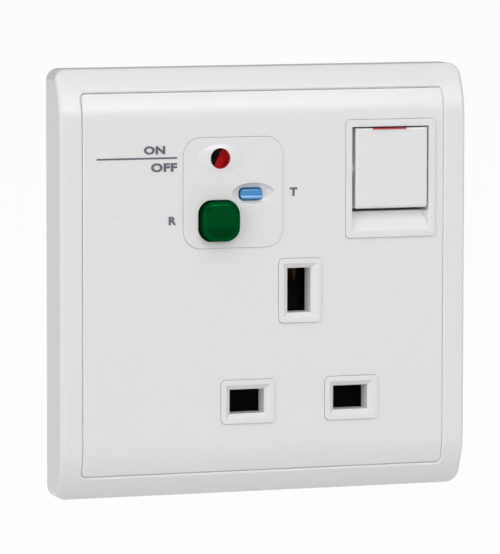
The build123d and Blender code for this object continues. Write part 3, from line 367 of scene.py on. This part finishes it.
def dress_nodes():
    """Every CAD node gets its own material or its slot's."""
    slots = {part["node"]: part["material_slot"] for part in frame["record"]["subparts"]}
    for name, node in frame["nodes"].items():
        material = NODE_MATERIALS.get(name) or MATERIALS[slots[name]]
        node.data.materials.clear()
        node.data.materials.append(material)


dress_nodes()


# Coil springs, as copies of the CAD springs riding on the module

def shortening_spring(node):
    """A coil that stands for a spring of the CAD model, riding on the module in its place."""
    coil = add_object(node + "_coil", frame["nodes"][node].data.copy())
    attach(coil, "module")
    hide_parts(node)
    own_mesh(coil)


shortening_spring("reset_spring")
shortening_spring("test_spring")
shortening_spring("shutter_springs")


# Marks printed on the cover, in generic signs

PRINT_HEIGHT = 0.03 * MM
LETTER_WEIGHT = 0.05
LETTER_SPACE = 1.08
LETTER_SMOOTHNESS = 6
INK = print_ink("print_grey")
cover_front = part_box("fascia")[0].y


def on_cover(name, mesh):
    mesh.materials.append(INK)
    mark = add_object(name, mesh)
    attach(mark, "cover")


def printed_word(name, words, left, right, low, high):
    """A word that fills a place on the cover's front, given in millimetres."""
    curve = bpy.data.curves.new(name, "FONT")
    curve.body = words
    curve.size = 1.0
    curve.offset = LETTER_WEIGHT
    curve.space_character = LETTER_SPACE
    curve.resolution_u = LETTER_SMOOTHNESS
    curve.extrude = 1.0
    holder = add_object(name + ".curve", curve)
    bpy.context.view_layer.update()
    mesh = bpy.data.meshes.new_from_object(holder.evaluated_get(bpy.context.evaluated_depsgraph_get()))
    bpy.data.objects.remove(holder)
    xs = [v.co.x for v in mesh.vertices]
    ys = [v.co.y for v in mesh.vertices]
    for v in mesh.vertices:
        x = left + (right - left) * (v.co.x - min(xs)) / (max(xs) - min(xs))
        z = low + (high - low) * (v.co.y - min(ys)) / (max(ys) - min(ys))
        depth = -PRINT_HEIGHT if v.co.z > 0 else 0.0
        v.co = (x * MM, cover_front + depth, z * MM)
    on_cover(name, mesh)


def printed_bar(name, left, right, low, high):
    """A straight bar on the cover's front, given in millimetres."""
    bm = bmesh.new()
    corners = [(left, low), (right, low), (right, high), (left, high)]
    back = [bm.verts.new((x * MM, cover_front, z * MM)) for x, z in corners]
    front = [bm.verts.new((x * MM, cover_front - PRINT_HEIGHT, z * MM)) for x, z in corners]
    bm.faces.new(front)
    bm.faces.new(list(reversed(back)))
    for i in range(4):
        j = (i + 1) % 4
        bm.faces.new((back[i], back[j], front[j], front[i]))
    bmesh.ops.recalc_face_normals(bm, faces=bm.faces[:])
    mesh = bpy.data.meshes.new(name)
    bm.to_mesh(mesh)
    bm.free()
    on_cover(name, mesh)


printed_word("mark_on", "ON", left=-25.7, right=-21.2, low=26.15, high=27.85)
printed_bar("mark_bar", left=-35.55, right=-18.7, low=25.21, high=25.55)
printed_word("mark_off", "OFF", left=-24.2, right=-18.7, low=22.6, high=24.4)
printed_word("mark_test", "T", left=5.2, right=6.8, low=17.15, high=18.85)
printed_word("mark_reset", "R", left=-20.5, right=-18.85, low=11.9, high=13.6)


# Floor, light and background. Places and sizes are in metres, powers in watts.

FLOOR_RADIUS = 15.0
FLOOR_SIDES = 96
FLOOR_LEVEL = -0.1
FLOOR_COLOUR = (0.9, 0.9, 0.9, 1)
FLOOR_ROUGH = 0.9
FLOOR_GLOW_SHARE = 0.96
LAMP_COLOUR = (0.985, 1.0, 1.04)
WORLD_STRENGTH = 0.245

# Name, place, width, height and power of each panel, which faces the object
PANELS = [
    ("overhead", (-0.4, -1.6, 2.8), 2.8, 2.0, 36.0),
    ("left_key", (-2.6, -1.5, 0.7), 1.7, 1.7, 26.0),
    ("front_strip", (0.34, -1.2, 0.48), 0.34, 0.22, 1.6),
    ("front_fill", (0.9, -3.1, 2.1), 1.8, 1.8, 28.0),
    ("low_fill", (1.4, -2.8, -1.6), 1.8, 1.0, 18.0),
]


def larger(n, first, second):
    node = n.add("ShaderNodeMath", operation="MAXIMUM")
    n.link(first, node.inputs[0])
    n.link(second, node.inputs[1])
    return node.outputs[0]


def floor_white():
    """Matt white that glows for the camera and in reflections, so that it shows as white."""
    n = Nodes("floor_white")
    n.shader.inputs["Base Color"].default_value = FLOOR_COLOUR
    n.set(rough=FLOOR_ROUGH, specular=0.0)
    rays = n.add("ShaderNodeLightPath").outputs
    seen = larger(n, larger(n, rays["Is Camera Ray"], rays["Is Glossy Ray"]), rays["Is Transmission Ray"])
    share = n.add("ShaderNodeMath", operation="MULTIPLY")
    share.inputs[1].default_value = FLOOR_GLOW_SHARE
    n.link(seen, share.inputs[0])
    glow = n.add("ShaderNodeEmission")
    mix = n.add("ShaderNodeMixShader")
    n.link(share.outputs[0], mix.inputs["Fac"])
    n.link(n.shader.outputs[0], mix.inputs[1])
    n.link(glow.outputs[0], mix.inputs[2])
    n.link(mix.outputs[0], n.tree.nodes["Material Output"].inputs["Surface"])
    return n.material


def add_floor():
    bm = bmesh.new()
    bmesh.ops.create_circle(bm, cap_ends=True, radius=FLOOR_RADIUS, segments=FLOOR_SIDES)
    mesh = bpy.data.meshes.new("floor")
    bm.to_mesh(mesh)
    bm.free()
    mesh.materials.append(floor_white())
    floor = add_object("floor", mesh)
    floor.location.z = FLOOR_LEVEL


def add_world():
    world = bpy.data.worlds.new("studio")
    world.use_nodes = True
    background = world.node_tree.nodes["Background"]
    background.inputs["Color"].default_value = (*LAMP_COLOUR, 1)
    background.inputs["Strength"].default_value = WORLD_STRENGTH
    bpy.context.scene.world = world


def add_panel_light(name, place, width, height, power):
    data = bpy.data.lights.new(name, "AREA")
    data.shape = "RECTANGLE"
    data.size = width
    data.size_y = height
    data.energy = power
    data.color = LAMP_COLOUR
    light = add_object(name, data)
    light.location = place
    light.rotation_mode = "QUATERNION"
    light.rotation_quaternion = (-Vector(place)).to_track_quat("-Z", "Y")


add_floor()
add_world()
for panel in PANELS:
    add_panel_light(*panel)

bpy.context.scene.view_settings.view_transform = "Standard"
